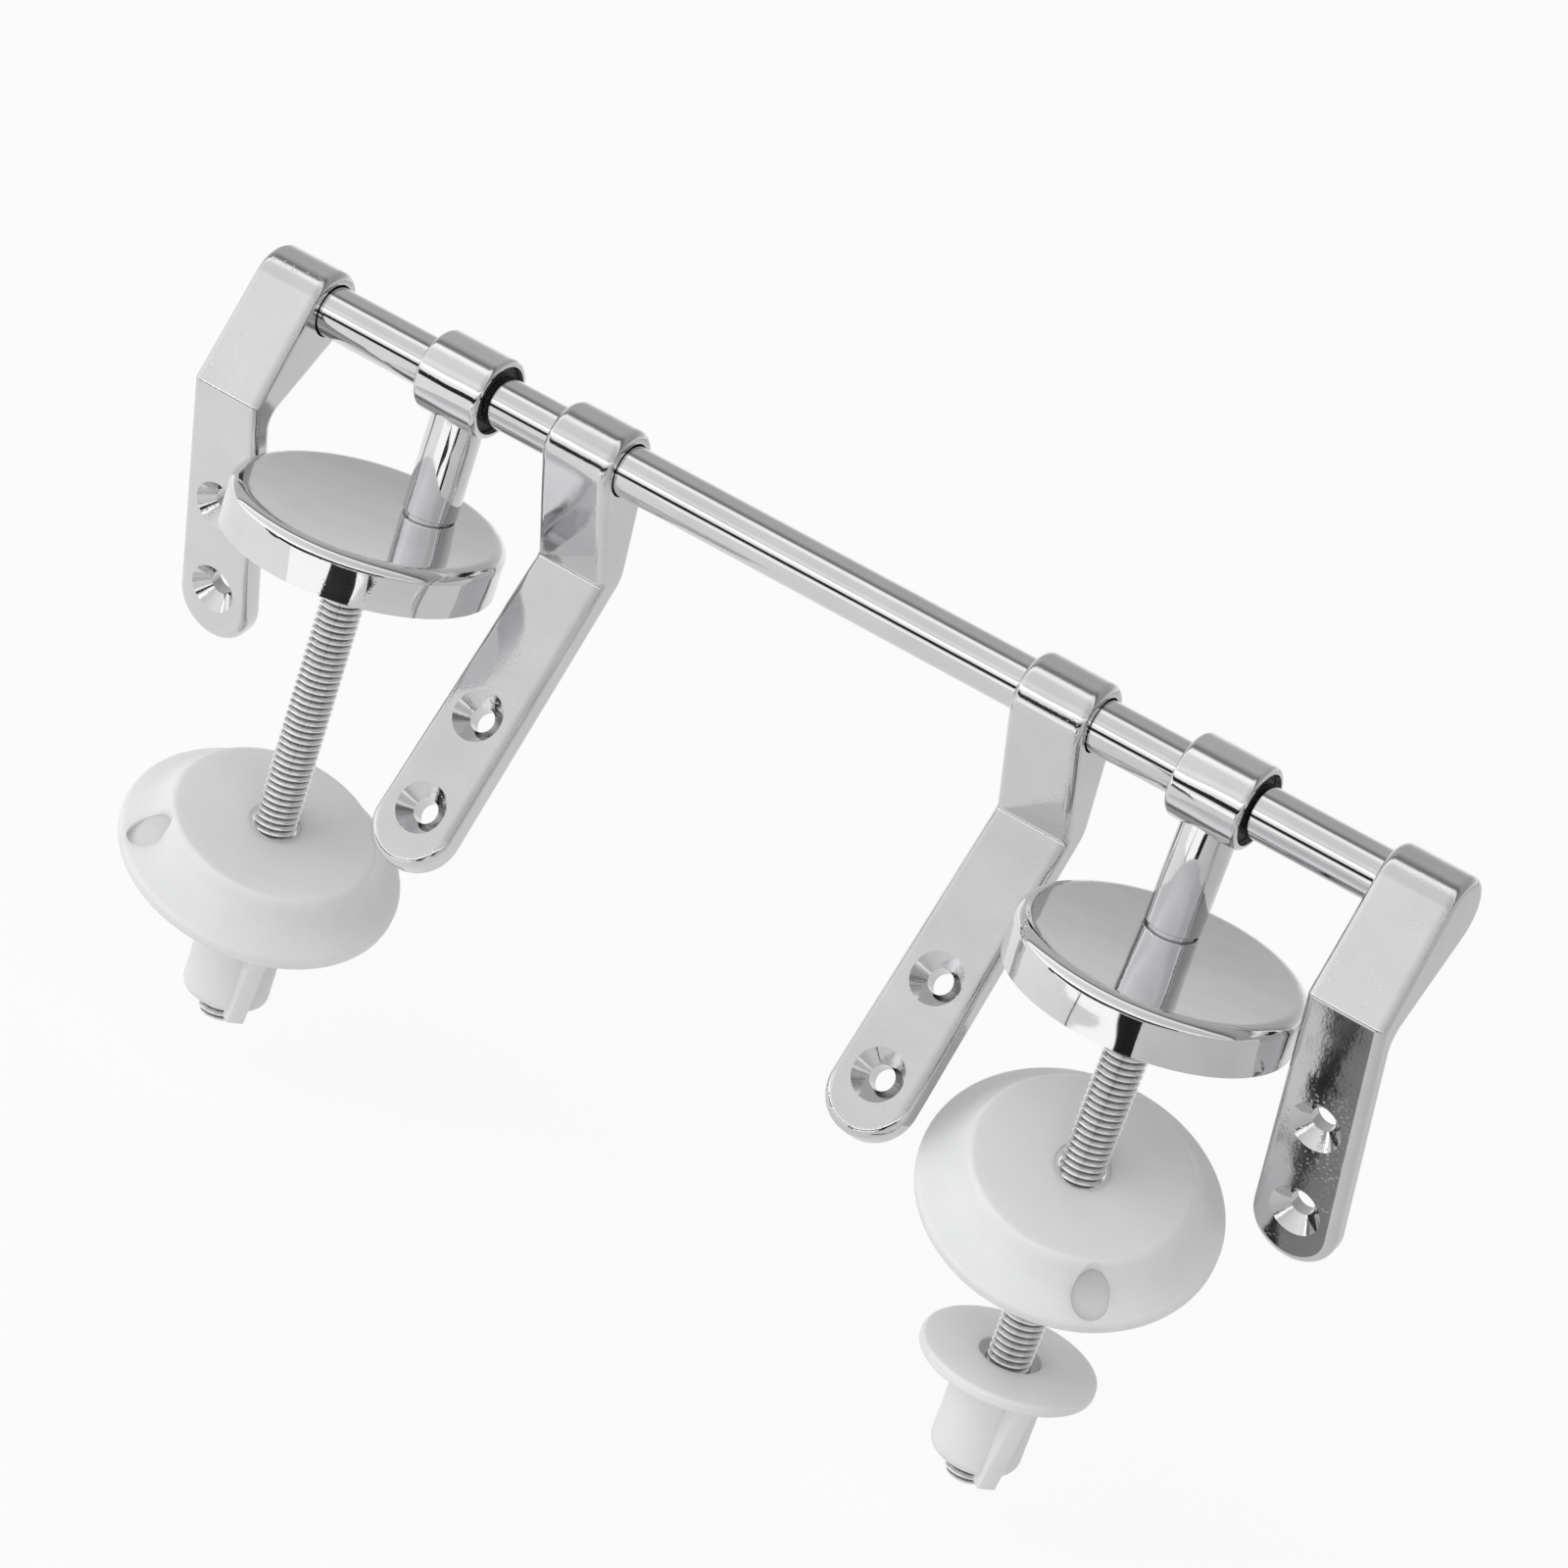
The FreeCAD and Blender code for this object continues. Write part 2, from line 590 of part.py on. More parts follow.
def make_lid_arm(label, side):
    body = new_body(label)
    face = -d.lid_face
    rear = d.lid_thickness - d.lid_face
    blank = arm_blank(body, label, face, rear, d.lid_crease, d.lid_rear_crease, d.lid_length)
    ridge = cross_edge(face, -d.lid_crease)
    item = round_edges(body, label + "_ridge", blank, ridge, d.lid_crease_round)
    valley = cross_edge(rear, -d.lid_rear_crease)
    item = round_edges(body, label + "_valley", item, valley, d.lid_rear_round)
    round_edges(body, label + "_edges", item, side_edge, d.arm_edge_round)
    bore_end = (d.arm_half_width - d.lid_cap) * side
    bore_sketch = new_sketch(body, "YZ_Plane", label + "_bore_circle", lift=bore_end)
    add_circle(bore_sketch, d.rod_radius + d.arm_gap)
    cut_through(body, label + "_bore", bore_sketch, reverse=side < 0)
    drill_arm(body, label, face, d.lid_length)
    turn = FreeCAD.Rotation(Vector(1, 0, 0), d.lid_tilt.value)
    place(body, LID_PLACE * side, d.rod_setback, d.rod_height, turn, d.lid_tilt)
    return body


def make_seat_arm(label, side, apart):
    body = new_body(label)
    face = d.seat_face
    rear = d.seat_face + d.seat_thickness
    blank = arm_blank(body, label, face, rear, d.seat_crease, d.seat_rear_crease, d.seat_length)
    valley = cross_edge(face, -d.seat_crease)
    item = round_edges(body, label + "_valley", blank, valley, d.seat_crease_round)
    heel = cross_edge(rear, -d.seat_rear_crease)
    item = round_edges(body, label + "_heel", item, heel, d.seat_rear_round)
    round_edges(body, label + "_edges", item, side_edge, d.arm_edge_round)
    bore_sketch = new_sketch(body, "YZ_Plane", label + "_bore_circle")
    add_circle(bore_sketch, d.rod_radius + d.arm_gap)
    cut_through(body, label + "_bore", bore_sketch, midplane=True)
    drill_arm(body, label, face, d.seat_length)
    turn = FreeCAD.Rotation(Vector(-1, 0, 0), d.seat_tilt.value)
    place(body, (d.pillar_place - apart) * side, d.rod_setback, d.rod_height, turn, d.seat_tilt)
    return body


def make_washer(label, side, drop, turn, side_tilt, tilt):
    """Hollow cone washer below its flat top; it sits loose and tilted on the bolt."""
    body = new_body(label)
    band = d.washer_rim_height - d.washer_height
    outline = [
        (d.washer_bore, ZERO),
        (d.washer_top, ZERO),
        (d.washer_waist, -d.washer_waist_drop),
        (d.washer_rim, band),
        (d.washer_rim, -d.washer_height),
        (d.washer_rim - d.washer_wall, -d.washer_height),
        (d.washer_waist - d.washer_wall, -d.washer_waist_drop - d.washer_wall),
        (d.washer_top - d.washer_wall, -d.washer_web),
        (d.washer_bore, -d.washer_lip),
    ]
    item = turned(body, label + "_cone", outline)
    waist = ring(d.washer_waist, -d.washer_waist_drop)
    item = round_edges(body, label + "_flank", item, waist, d.washer_flank_round)
    top = ring(d.washer_top, ZERO)
    item = round_edges(body, label + "_top", item, top, d.washer_top_round)
    rim_high = ring(d.washer_rim, band)
    rim_low = ring(d.washer_rim, -d.washer_height)
    round_edges(body, label + "_rim", item, lambda e: rim_high(e) or rim_low(e), d.washer_rim_round)
    eye_sketch = new_sketch(body, "XY_Plane", label + "_eye_circle")
    eye_place = d.washer_rim - d.washer_eye - d.washer_eye_edge
    add_circle(eye_sketch, d.washer_eye, ZERO, -eye_place)
    cut_through(body, label + "_eye", eye_sketch)
    x, y = disc_centre(side)
    lay(body, x, y, -drop, turn, side_tilt, tilt)
    return body


def make_nut(label, side, turn):
    body = new_body(label)
    outline = [
        (d.nut_bore, -d.nut_recess_depth),
        (d.nut_recess, -d.nut_recess_depth),
        (d.nut_recess, ZERO),
        (d.nut_flange, ZERO),
        (d.nut_flange, -d.nut_flange_height),
        (d.nut_hub, -d.nut_flange_height),
        (d.nut_hub, -d.nut_height),
        (d.nut_bore, -d.nut_height),
    ]
    item = turned(body, label + "_hub", outline)
    end = ring(d.nut_hub, -d.nut_height)
    item = round_edges(body, label + "_end", item, end, d.nut_hub_round)
    upper = ring(d.nut_flange, ZERO)
    lower = ring(d.nut_flange, -d.nut_flange_height)
    round_edges(body, label + "_flange", item, lambda e: upper(e) or lower(e), d.nut_flange_round)
    sketch = new_sketch(body, "XZ_Plane", label + "_wing_outlines")
    root = d.nut_wing_root
    high = -d.nut_flange_height / 2
    for hand in (1, -1):
        points = [
            (root * hand, high),
            (d.nut_wing_reach * hand, high),
            (d.nut_wing_foot * hand, -d.nut_wing_height),
            (root * hand, -d.nut_wing_height),
        ]
        add_polygon(sketch, points)
    pad(body, label + "_wings", sketch, d.nut_wing_thickness, midplane=True)
    x, y = disc_centre(side)
    lay(body, x, y, -d.nut_drop, turn)
    return body


bodies = [make_rod()]
for name, hand in (("left", -1), ("right", 1)):
    bodies.append(make_pillar("pillar_" + name, hand))
    bodies.append(make_bush("pillar_bush_" + name, hand))
    bodies.append(make_disc("base_disc_" + name, hand))
    bodies.append(make_screw("pillar_screw_" + name, hand))
    bodies.append(make_bolt("pan_bolt_" + name, hand))
    bodies.append(make_lid_arm("lid_arm_" + name, hand))
bodies.append(make_seat_arm("seat_arm_left", -1, d.seat_left_apart))
bodies.append(make_seat_arm("seat_arm_right", 1, d.seat_right_apart))
left_lie = (d.washer_left_turn, d.washer_left_side_tilt, d.washer_left_tilt)
right_lie = (d.washer_right_turn, d.washer_right_side_tilt, d.washer_right_tilt)
bodies.append(make_washer("cone_washer_left", -1, d.washer_left_drop, *left_lie))
bodies.append(make_washer("cone_washer_right", 1, d.washer_right_drop, *right_lie))
bodies.append(make_nut("wing_nut_left", -1, d.nut_left_turn))
bodies.append(make_nut("wing_nut_right", 1, d.nut_right_turn))
doc.recompute()

for item in doc.Objects:
    if "Invalid" in item.State or "Error" in item.State:
        raise RuntimeError(f"{item.Name} did not rebuild: {item.State}")
os.makedirs("parts", exist_ok=True)
for body in bodies:
    shape = body.Shape
    if shape.isNull() or not shape.isValid() or len(shape.Solids) != 1:
        raise RuntimeError(f"{body.Label} is not one valid solid")
    shape.exportStep(f"parts/{body.Label}.step")
    box = shape.BoundBox
    low = (round(box.XMin, 1), round(box.YMin, 1), round(box.ZMin, 1))
    high = (round(box.XMax, 1), round(box.YMax, 1), round(box.ZMax, 1))
    print(body.Label, low, high, round(shape.Volume, 1))
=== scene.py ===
import math

import bpy
import numpy as np
from mathutils import Matrix, Vector


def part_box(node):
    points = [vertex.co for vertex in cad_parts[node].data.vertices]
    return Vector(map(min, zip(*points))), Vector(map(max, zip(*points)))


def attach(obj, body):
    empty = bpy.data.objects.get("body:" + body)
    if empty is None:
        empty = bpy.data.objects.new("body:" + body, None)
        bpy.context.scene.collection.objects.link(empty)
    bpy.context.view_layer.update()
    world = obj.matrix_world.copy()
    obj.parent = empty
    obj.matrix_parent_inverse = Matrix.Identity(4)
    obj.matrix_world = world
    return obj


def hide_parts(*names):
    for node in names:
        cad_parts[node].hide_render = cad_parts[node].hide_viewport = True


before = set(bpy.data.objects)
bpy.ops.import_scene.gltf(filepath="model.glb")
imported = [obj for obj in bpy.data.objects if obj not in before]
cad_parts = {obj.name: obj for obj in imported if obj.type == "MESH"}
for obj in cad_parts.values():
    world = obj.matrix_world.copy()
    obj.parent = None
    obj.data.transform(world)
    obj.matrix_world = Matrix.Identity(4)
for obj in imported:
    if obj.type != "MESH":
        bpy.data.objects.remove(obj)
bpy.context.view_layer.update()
scene = bpy.context.scene
scene.view_settings.view_transform = "Standard"

# Lengths are in metres where no other unit is named.
SIDES = ("left", "right")
FULL_TURN = 2.0 * math.pi

# Thread of the pan bolts. The root and flank are shares of half a pitch.
PITCH = 0.00125
CREST = 0.00395
ROOT = 0.00330
ROOT_SHARE = 0.16
FLANK_SHARE = 0.66
FLANK_EASE = 0.35
BOLT_CHAMFER = 0.0008
THREAD_AROUND = 40
ROWS_PER_PITCH = 9

# Lip in a cone washer's bore and floor of its eye. The eye's faces are told by where they look.
WEB = 0.0003
LIP_INSIDE = 0.00408
LIP_OUTSIDE = 0.00515
LIP_AROUND = 72
EYE_OVERLAP = 0.0001
EYE_SINK = 0.0014
EYE_AROUND = 48
POINT_DECIMALS = 6
ALONG_AXIS = 0.05
LOOKS_SIDEWAYS = 0.3
LOOKS_UP = 0.2

# Noises: features per metre, detail, roughness.
HAZE = (90.0, 4.0, 0.6)
SLOW_WAVE = (32.0, 1.0, 0.4)
QUICK_WAVE = (140.0, 1.0, 0.4)
DRAWN_LINES = (2600.0, 2.0, 0.5)
RIM_RIPPLE = (120.0, 0.0, 0.5)
PIT_PATCHES = (60.0, 2.0, 0.5)
CAST_GRAIN = (1600.0, 2.0, 0.5)
ZINC_GRAIN = (700.0, 5.0, 0.65)
ZINC_SKIN = (2400.0, 3.0, 0.6)
MILKY_CLOUD = (55.0, 3.0, 0.55)
MILKY_GLOSS = (420.0, 3.0, 0.6)
MILKY_SINK = (120.0, 2.0, 0.5)
MILKY_SKIN = (1300.0, 3.0, 0.6)
BUSH_GRAIN = (1100.0, 3.0, 0.6)
PITS_PER_METRE = 1300.0
DRAWN_STRETCH = (0.02, 1, 1)

# Bumps: strength, depth.
DRAWN_BUMP = (0.12, 0.00002)
ZINC_BUMP = (0.25, 0.00002)
MILKY_SINK_BUMP = (0.10, 0.0003)
MILKY_SKIN_BUMP = (0.08, 0.00003)
BUSH_BUMP = (0.15, 0.00004)
SLOW_WAVE_STRENGTH = 0.6
QUICK_WAVE_STRENGTH = 0.35
SLOW_TO_QUICK_WAVE = 4.0
RIPPLE_STRENGTH = 0.9
PIT_DEPTH = 0.00006
CAST_GRAIN_DEPTH = 0.00002

# Ramps: place, then a grey level or a colour.
UPRIGHT_FACES = [(0.15, 1.0), (0.75, 0.0)]
PIT_SHAPE = [(0.06, 0.0), (0.32, 1.0)]
PIT_FREE = [(0.46, 1.0), (0.62, 0.0)]
# Zinc tones over grain and thread height: the dark low end is painted shade in the thread roots, the pale
# high end a painted highlight on the crests.
ZINC_TONES_AND_ROOT_SHADE = [(0.13, 0.15), (0.50, 0.68), (1.0, 0.90)]
ZINC_ROUGHNESS = [(0.3, 0.12), (0.75, 0.24)]
MILKY_TONES = [(0.3, (0.81, 0.815, 0.82)), (0.7, (0.86, 0.865, 0.87))]
MILKY_ROUGHNESS = [(0.3, 0.30), (0.7, 0.46)]
BUSH_TONES = [(0.3, 0.010), (0.7, 0.022)]
BUSH_ROUGHNESS = [(0.3, 0.38), (0.7, 0.55)]
HAZE_TONE_PLACES = (0.3, 0.7)
HAZE_TONE = 0.93
HAZE_ROUGHNESS_PLACES = (0.25, 0.8)
HAZE_ROUGHNESS = (0.7, 1.7)
ZINC_WEAR = 0.25
ZINC_PLAIN_CREST = 0.5
MILKY_SUBSURFACE = 0.55
MILKY_DEPTH = (0.004, 0.004, 0.0038)
MILKY_IOR = 1.5

# Stage. The sky goes by the angle about the rod in degrees, from the front over the top to the back.
FLOOR_Z = -0.1025
FLOOR_REACH = 6.0
FLOOR_TONE = 0.86
FLOOR_GLOW = 0.9
FLOOR_FALL = (-0.20, 0.35, 1.0, 0.60)
BACKDROP = 0.96
SKY = [(0, 1.10), (6, 1.20), (8, 1.90), (12, 1.90), (15, 0.88), (26, 1.02), (36, 0.86), (60, 0.88),
       (71, 1.25), (77, 1.25), (83, 0.30), (90, 0.22), (97, 0.40), (108, 0.52), (128, 0.50), (150, 0.52),
       (165, 0.72), (180, 1.15)]
SKY_SPAN = 180.0
SKY_SIDES = (-1.0, 1.0, 1.15, 0.70)
CARD_Z = -0.0945
CARD_LIFT = 0.0005
CARD_HEIGHT = 0.045
CARD_TONE = 0.01
CARD_ROUGHNESS = 0.9
KEY_PLACE = (-0.9, -0.9, 1.0)
KEY_SIZE = (1.3, 0.9)
KEY_WATTS = 5.0

# Camera solved from the photograph, for a square frame. The sensor and lens are in millimetres.
SENSOR = 36.0
LENS = 117.656
CLIP = (0.05, 20.0)
CAMERA_PLACE = (0.352857, -0.721634, 0.328420)
CAMERA_RIGHT = Vector((0.79996223, 0.51804512, 0.30280304))
CAMERA_DOWN = Vector((0.44921699, -0.18247049, -0.87459054))
CAMERA_AHEAD = Vector((-0.39782474, 0.83566367, -0.37868417))


def colour(level):
    """Opaque colour from a grey level or from red, green and blue."""
    parts = level if isinstance(level, tuple) else (level, level, level)
    return (*parts, 1.0)


class Tree:
    """Short ways to build the node tree of a material or of the world."""

    def __init__(self, owner):
        owner.use_nodes = True
        self.nodes = owner.node_tree.nodes
        self.links = owner.node_tree.links

    def add(self, kind, **values):
        node = self.nodes.new(kind)
        for key, value in values.items():
            setattr(node, key, value)
        return node

    def feed(self, target, value):
        """Link an output to a socket, or set a plain value on the socket itself."""
        if isinstance(value, bpy.types.NodeSocket):
            self.links.new(value, target)
        else:
            target.default_value = value

    def math(self, operation, *values):
        node = self.add("ShaderNodeMath", operation=operation)
        for target, value in zip(node.inputs, values):
            self.feed(target, value)
        return node.outputs["Value"]

    def mix(self, factor, first, second):
        node = self.add("ShaderNodeMix")
        self.feed(node.inputs["Factor"], factor)
        self.feed(node.inputs["A"], first)
        self.feed(node.inputs["B"], second)
        return node.outputs["Result"]

    def span(self, source, from_min, from_max, to_min, to_max):
        node = self.add("ShaderNodeMapRange")
        self.feed(node.inputs["Value"], source)
        self.feed(node.inputs["From Min"], from_min)
        self.feed(node.inputs["From Max"], from_max)
        self.feed(node.inputs["To Min"], to_min)
        self.feed(node.inputs["To Max"], to_max)
        return node.outputs["Result"]

    def split(self, source):
        node = self.add("ShaderNodeSeparateXYZ")
        self.feed(node.inputs["Vector"], source)
        return node.outputs

    def ramp(self, source, stops, ease="LINEAR"):
        node = self.add("ShaderNodeValToRGB")
        node.color_ramp.interpolation = ease
        elements = node.color_ramp.elements
        while len(elements) < len(stops):
            elements.new(0.5)
        for element, (place, level) in zip(elements, stops):
            element.position = place
            element.color = colour(level)
        self.feed(node.inputs["Fac"], source)
        return node.outputs["Color"]


class Surface(Tree):
    """A new material with textures in the object's own coordinates."""

    def __init__(self, name):
        self.material = bpy.data.materials.new(name)
        super().__init__(self.material)
        self.shader = self.nodes["Principled BSDF"]

    def put(self, name, value):
        self.feed(self.shader.inputs[name], value)

    def own_place(self):
        return self.add("ShaderNodeTexCoord").outputs["Object"]

    def noise(self, scale, detail, rough, stretch=(1, 1, 1)):
        mapping = self.add("ShaderNodeMapping")
        self.feed(mapping.inputs["Vector"], self.own_place())
        self.feed(mapping.inputs["Scale"], stretch)
        node = self.add("ShaderNodeTexNoise")
        self.feed(node.inputs["Vector"], mapping.outputs["Vector"])
        self.feed(node.inputs["Scale"], scale)
        self.feed(node.inputs["Detail"], detail)
        self.feed(node.inputs["Roughness"], rough)
        return node.outputs["Fac"]

    def cells(self, scale):
        """Distance to scattered points, in points per metre."""
        node = self.add("ShaderNodeTexVoronoi")
        self.feed(node.inputs["Vector"], self.own_place())
        self.feed(node.inputs["Scale"], scale)
        return node.outputs["Distance"]

    def bump(self, layers):
        """Stack bumps, each a height source with its strength and depth."""
        before = None
        for height, strength, depth in layers:
            node = self.add("ShaderNodeBump")
            self.feed(node.inputs["Height"], height)
            self.feed(node.inputs["Strength"], strength)
            self.feed(node.inputs["Distance"], depth)
            if before is not None:
                self.feed(node.inputs["Normal"], before)
            before = node.outputs["Normal"]
        self.put("Normal", before)


def chrome_material(name, tint, rough, wave, pits, drawn=False, ripple=0.0):
    """Polished chrome: faint waviness, hazy patches, pits on castings and ripples on a turned rim."""
    s = Surface(name)
    s.put("Metallic", 1.0)
    haze = s.noise(*HAZE)
    tones = (tuple(part * HAZE_TONE for part in tint), tint)
    s.put("Base Color", s.ramp(haze, list(zip(HAZE_TONE_PLACES, tones))))
    roughness = [rough * share for share in HAZE_ROUGHNESS]
    s.put("Roughness", s.ramp(haze, list(zip(HAZE_ROUGHNESS_PLACES, roughness))))
    layers = [
        (s.noise(*SLOW_WAVE), SLOW_WAVE_STRENGTH, wave * SLOW_TO_QUICK_WAVE),
        (s.noise(*QUICK_WAVE), QUICK_WAVE_STRENGTH, wave),
    ]
    if drawn:
        layers.append((s.noise(*DRAWN_LINES, DRAWN_STRETCH), *DRAWN_BUMP))
    if ripple:
        faces = s.add("ShaderNodeNewGeometry").outputs["True Normal"]
        upright = s.ramp(s.math("ABSOLUTE", s.split(faces)["Z"]), UPRIGHT_FACES)
        layers.append((s.math("MULTIPLY", s.noise(*RIM_RIPPLE), upright), RIPPLE_STRENGTH, ripple))
    if pits:
        spots = s.ramp(s.cells(PITS_PER_METRE), PIT_SHAPE, "EASE")
        free = s.ramp(s.noise(*PIT_PATCHES), PIT_FREE, "EASE")
        layers.append((s.math("MAXIMUM", spots, free), pits, PIT_DEPTH))
        layers.append((s.noise(*CAST_GRAIN), pits, CAST_GRAIN_DEPTH))
    s.bump(layers)
    return s.material


def zinc_material(name, threaded):
    """Bright zinc on steel with a dull grain; on a thread, painted shade darkens the roots and a painted
    highlight brightens the crests.
    """
    s = Surface(name)
    s.put("Metallic", 1.0)
    grain = s.noise(*ZINC_GRAIN)
    crest = ZINC_PLAIN_CREST
    if threaded:
        crest = s.add("ShaderNodeAttribute", attribute_name="crest").outputs["Fac"]
    # Thread height plus a little grain: low in the roots, where the ramp paints shade, high on the crests,
    # where it paints a highlight.
    grain_and_root_shade = s.math("MULTIPLY_ADD", grain, ZINC_WEAR, crest)
    s.put("Base Color", s.ramp(grain_and_root_shade, ZINC_TONES_AND_ROOT_SHADE))
    s.put("Roughness", s.ramp(grain, ZINC_ROUGHNESS))
    s.bump([(s.noise(*ZINC_SKIN), *ZINC_BUMP)])
    return s.material


def milky_material(name):
    """Natural polyethylene: milky, softly see-through, with a satin moulded skin."""
    s = Surface(name)
    s.put("Base Color", s.ramp(s.noise(*MILKY_CLOUD), MILKY_TONES))
    s.put("Roughness", s.ramp(s.noise(*MILKY_GLOSS), MILKY_ROUGHNESS))
    s.put("Subsurface Weight", MILKY_SUBSURFACE)
    s.put("Subsurface Radius", MILKY_DEPTH)
    s.put("Subsurface Scale", 1.0)
    s.put("IOR", MILKY_IOR)
    s.bump([(s.noise(*MILKY_SINK), *MILKY_SINK_BUMP), (s.noise(*MILKY_SKIN), *MILKY_SKIN_BUMP)])
    return s.material


def bush_material(name):
    """Black moulded plastic with a fine satin grain."""
    s = Surface(name)
    grain = s.noise(*BUSH_GRAIN)
    s.put("Base Color", s.ramp(grain, BUSH_TONES))
    s.put("Roughness", s.ramp(grain, BUSH_ROUGHNESS))
    s.bump([(grain, *BUSH_BUMP)])
    return s.material


def dress(node, material):
    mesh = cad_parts[node].data
    mesh.materials.clear()
    mesh.materials.append(material)


def add_mesh(name, verts, faces):
    mesh = bpy.data.meshes.new(name)
    mesh.from_pydata(verts, [], faces)
    mesh.validate()
    piece = bpy.data.objects.new(name, mesh)
    scene.collection.objects.link(piece)
    return piece


def joined(first, second, count):
    """Faces between two closed loops of vertices, given by where each loop starts."""
    steps = [(step, (step + 1) % count) for step in range(count)]
    return [(first + b, first + a, second + a, second + b) for a, b in steps]


def thread_height(turn):
    """Thread profile over one pitch, 0 at the root and 1 at the crest, corners eased."""
    phase = abs(turn % 1.0 - 0.5) * 2.0
    flank = min(max((phase - ROOT_SHARE) / FLANK_SHARE, 0.0), 1.0)
    eased = flank * flank * (3.0 - 2.0 * flank)
    return eased * FLANK_EASE + flank * (1.0 - FLANK_EASE)


def make_thread(name, x, y, low, high):
    """A stud with a real helical thread, closed at both ends."""
    rows = int((high - low) / PITCH * ROWS_PER_PITCH)
    verts = []
    crests = []
    for row in range(rows + 1):
        z = low + (high - low) * row / rows
        from_end = min(z - low, high - z)
        cap = CREST - max(BOLT_CHAMFER - from_end, 0.0)
        for step in range(THREAD_AROUND):
            angle = FULL_TURN * step / THREAD_AROUND
            height = thread_height(z / PITCH - step / THREAD_AROUND)
            radius = min(ROOT + (CREST - ROOT) * height, cap)
            crests.append(height)
            verts.append((x + radius * math.cos(angle), y + radius * math.sin(angle), z))
    faces = []
    for row in range(rows):
        faces += joined((row + 1) * THREAD_AROUND, row * THREAD_AROUND, THREAD_AROUND)
    last = rows * THREAD_AROUND
    faces.append(tuple(reversed(range(THREAD_AROUND))))
    faces.append(tuple(range(last, last + THREAD_AROUND)))
    piece = add_mesh(name, verts, faces)
    # Thread height per corner, read by the zinc material to paint shade into the roots and a highlight onto
    # the crests.
    piece.data.attributes.new("crest", "FLOAT", "POINT").data.foreach_set("value", crests)
    for polygon in piece.data.polygons:
        polygon.use_smooth = len(polygon.vertices) < THREAD_AROUND
    return piece


def plane_of(points):
    """Middle of some points and the upward normal of the plane through them."""
    middle = points.mean(axis=0)
    normal = np.linalg.svd(points - middle, full_matrices=False)[2][2]
    return middle, normal * np.sign(normal[2])


def square_to(axis, other):
    """Unit vector square to two others."""
    both = np.cross(axis, other)
    return both / np.linalg.norm(both)


def bore_plane(washer, x, y):
    """Middle and axis of a washer's bore, from the corners of its mesh next to the bolt."""
    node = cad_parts[washer]
    points = [node.matrix_world @ vertex.co for vertex in node.data.vertices]
    return plane_of(np.array([p for p in points if math.hypot(p.x - x, p.y - y) < LIP_OUTSIDE]))


def eye_edge(washer, hub, axis):
    """Upper edge of the washer's eye: corners that the faces inside it share with those that look up."""
    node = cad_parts[washer]
    place = node.matrix_world
    spots = [tuple(round(c, POINT_DECIMALS) for c in place @ vertex.co) for vertex in node.data.vertices]
    wall = set()
    upper = set()
    for face in node.data.polygons:
        normal = np.array(place.to_3x3() @ face.normal)
        sideways = square_to(axis, np.array(place @ face.center) - hub)
        corners = {spots[index] for index in face.vertices}
        if abs(normal @ axis) < ALONG_AXIS and abs(normal @ sideways) > LOOKS_SIDEWAYS:
            wall |= corners
        elif normal @ axis > LOOKS_UP:
            upper |= corners
    return np.array(sorted(wall & upper))


def make_lip(name, washer, x, y):
    """A thin lip that closes the tilted bore of a washer round its bolt, half way down the bore's edge."""
    centre, axis = bore_plane(washer, x, y)
    across = square_to(axis, (1.0, 0.0, 0.0))
    along = np.cross(across, axis)
    fall = (axis[0] * (x - centre[0]) + axis[1] * (y - centre[1])) / axis[2]
    middle = np.array((x, y, centre[2] - fall))
    rise = np.array((0.0, 0.0, WEB / 2 / axis[2]))
    inside = []
    outside = []
    for step in range(LIP_AROUND):
        angle = FULL_TURN * step / LIP_AROUND
        ray = along * math.cos(angle) + across * math.sin(angle)
        inside.append(middle + ray * LIP_INSIDE / math.hypot(ray[0], ray[1]))
        outside.append(middle + ray * LIP_OUTSIDE)
    loops = [(inside, rise), (outside, rise), (outside, -rise), (inside, -rise)]
    verts = [point + shift for loop, shift in loops for point in loop]
    faces = []
    for index in range(len(loops)):
        faces += joined(index * LIP_AROUND, (index + 1) % len(loops) * LIP_AROUND, LIP_AROUND)
    return add_mesh(name, verts, faces)


def make_eye_floor(name, washer, x, y):
    """A thin web that makes the washer's eye blind, parallel to the flank and inside its thickness."""
    hub, axis = bore_plane(washer, x, y)
    edge = eye_edge(washer, hub, axis)
    spot, slope = plane_of(edge)
    sideways = square_to(axis, spot - hub)
    outward = np.cross(sideways, axis)
    out = (edge - hub) @ outward
    aside = (edge - hub) @ sideways
    centre = hub + outward * (out.min() + out.max()) / 2 + sideways * (aside.min() + aside.max()) / 2
    radius = (aside.max() - aside.min()) / 2 + EYE_OVERLAP
    top = []
    for step in range(EYE_AROUND):
        angle = FULL_TURN * step / EYE_AROUND
        point = centre + (outward * math.cos(angle) + sideways * math.sin(angle)) * radius
        top.append(point + axis * ((spot - point) @ slope / (axis @ slope) - EYE_SINK))
    verts = top + [point - axis * WEB for point in top]
    faces = joined(EYE_AROUND, 0, EYE_AROUND)
    faces.append(tuple(range(EYE_AROUND)))
    faces.append(tuple(reversed(range(EYE_AROUND, 2 * EYE_AROUND))))
    return add_mesh(name, verts, faces)


